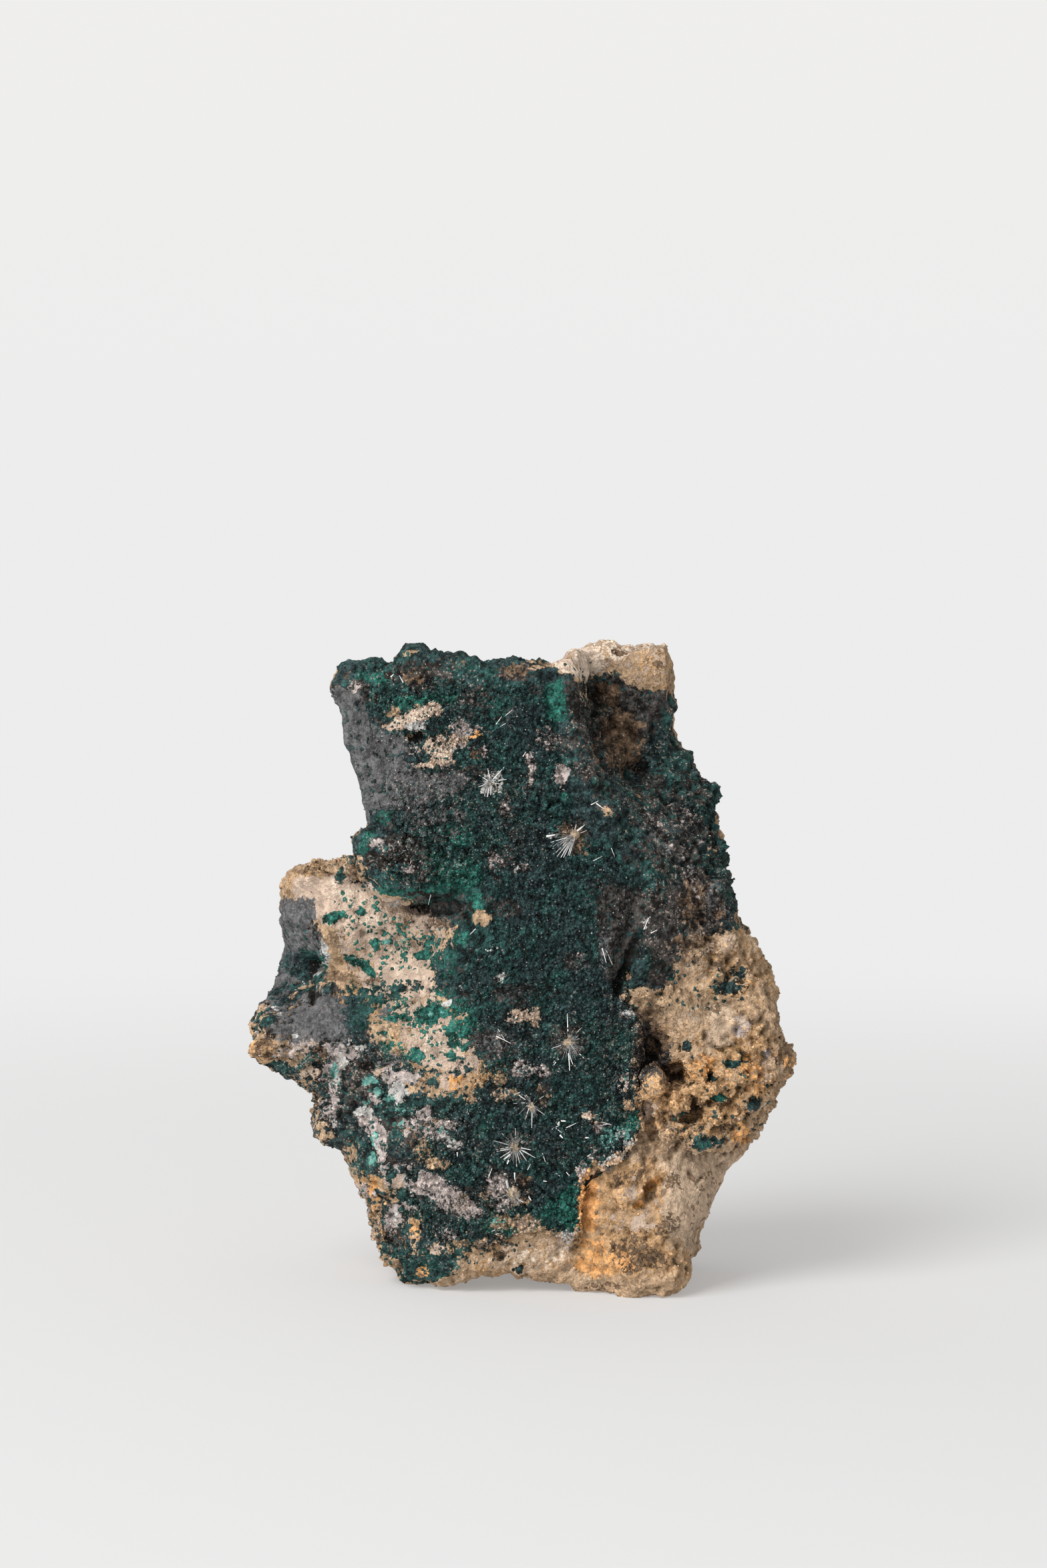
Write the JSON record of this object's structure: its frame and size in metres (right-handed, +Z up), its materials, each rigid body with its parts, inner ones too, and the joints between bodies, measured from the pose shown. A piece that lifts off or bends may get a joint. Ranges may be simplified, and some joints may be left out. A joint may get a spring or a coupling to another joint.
{
  "type": "malachite with hemimorphite specimen",
  "caption": "Rough tan gossan block with a dark green malachite crust over its front and small radiating hemimorphite sprays on the crust; stands upright on its own feet.",
  "frame": {"origin": "bottom centre of the specimen's bounding box, on the plane that it stands on", "axes": "+Z up; the crusted front faces -Y; +X to the right seen from the front"},
  "size_m": [0.0768, 0.04, 0.0903],
  "materials": {
    "gossan": "rough earthy, pitted, iron-stained",
    "malachite": "velvety, finely granular, with small sparkles",
    "hemimorphite": "clear to white, glassy needles"
  },
  "bodies": {
    "root": {"matrix_rock": "gossan", "malachite_crust": "malachite", "hemimorphite_spray_1": "hemimorphite", "hemimorphite_spray_2": "hemimorphite", "hemimorphite_spray_3": "hemimorphite", "hemimorphite_spray_4": "hemimorphite", "hemimorphite_spray_5": "hemimorphite", "hemimorphite_spray_6": "hemimorphite"}
  },
  "joints": []
}
